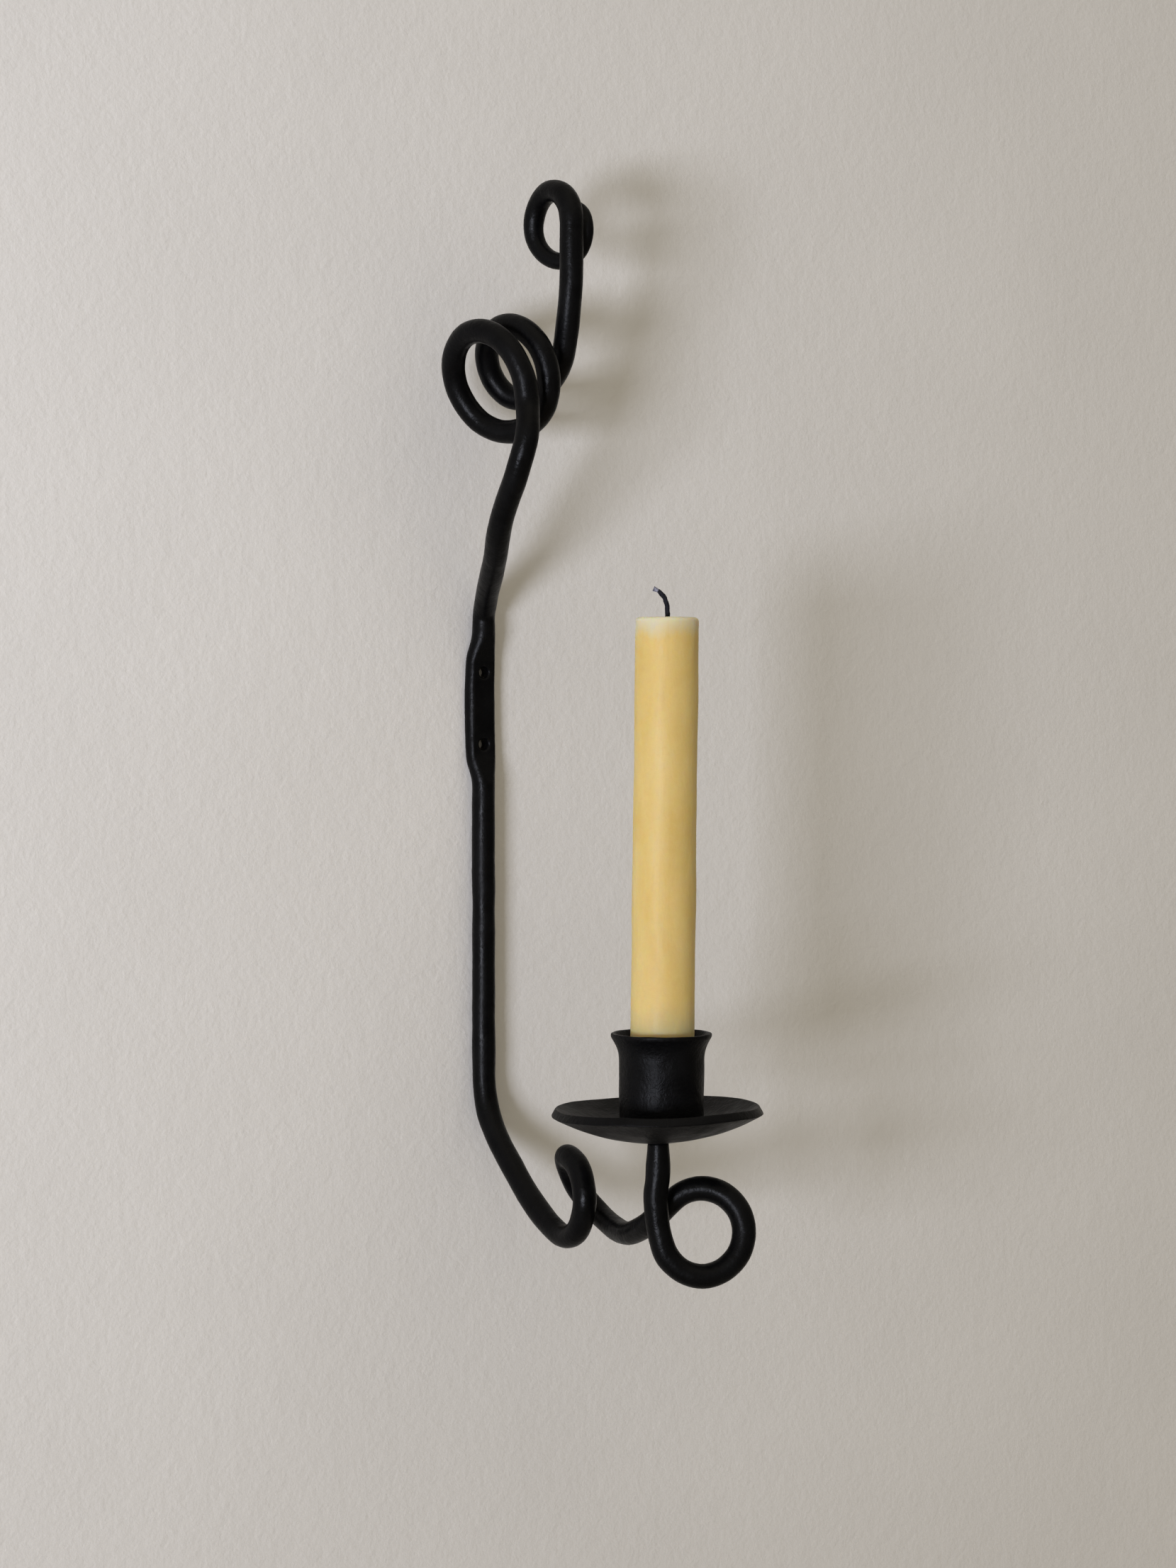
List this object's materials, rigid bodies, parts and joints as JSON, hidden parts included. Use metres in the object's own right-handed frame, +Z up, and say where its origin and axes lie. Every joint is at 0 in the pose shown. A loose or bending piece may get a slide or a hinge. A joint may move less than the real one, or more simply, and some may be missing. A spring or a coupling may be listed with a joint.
{
  "type": "wall sconce candle holder",
  "caption": "Forged round-bar wall sconce: curled top, double coil, looped arm, dished drip pan and flared cup holding a dinner candle.",
  "frame": {"origin": "midway between the two screw holes, on the flat back of the bar that lies on the wall", "axes": "+Z up along the stem, +Y into the wall, -Y out towards the candle, +X to the right seen from the room"},
  "size_m": [0.0732, 0.1454, 0.3901],
  "materials": {
    "forged_iron": "hand-hammered bar, satin black",
    "pan_iron": "satin black with dust on its upper face",
    "cup_iron": "satin black",
    "washer_steel": "blackened steel",
    "beeswax": "smooth wax, slightly translucent",
    "charred_wick": "burnt braided cotton"
  },
  "bodies": {
    "sconce": {"forged_bar": "forged_iron", "drip_pan": "pan_iron", "candle_cup": "cup_iron", "rivet_washer": "washer_steel"},
    "candle": {"candle": "beeswax", "wick": "charred_wick"}
  },
  "joints": [
    {"name": "candle_lift", "type": "slide", "parent": "sconce", "child": "candle", "axis": [0, 0, 1], "range_m": [0, 0.04]}
  ]
}
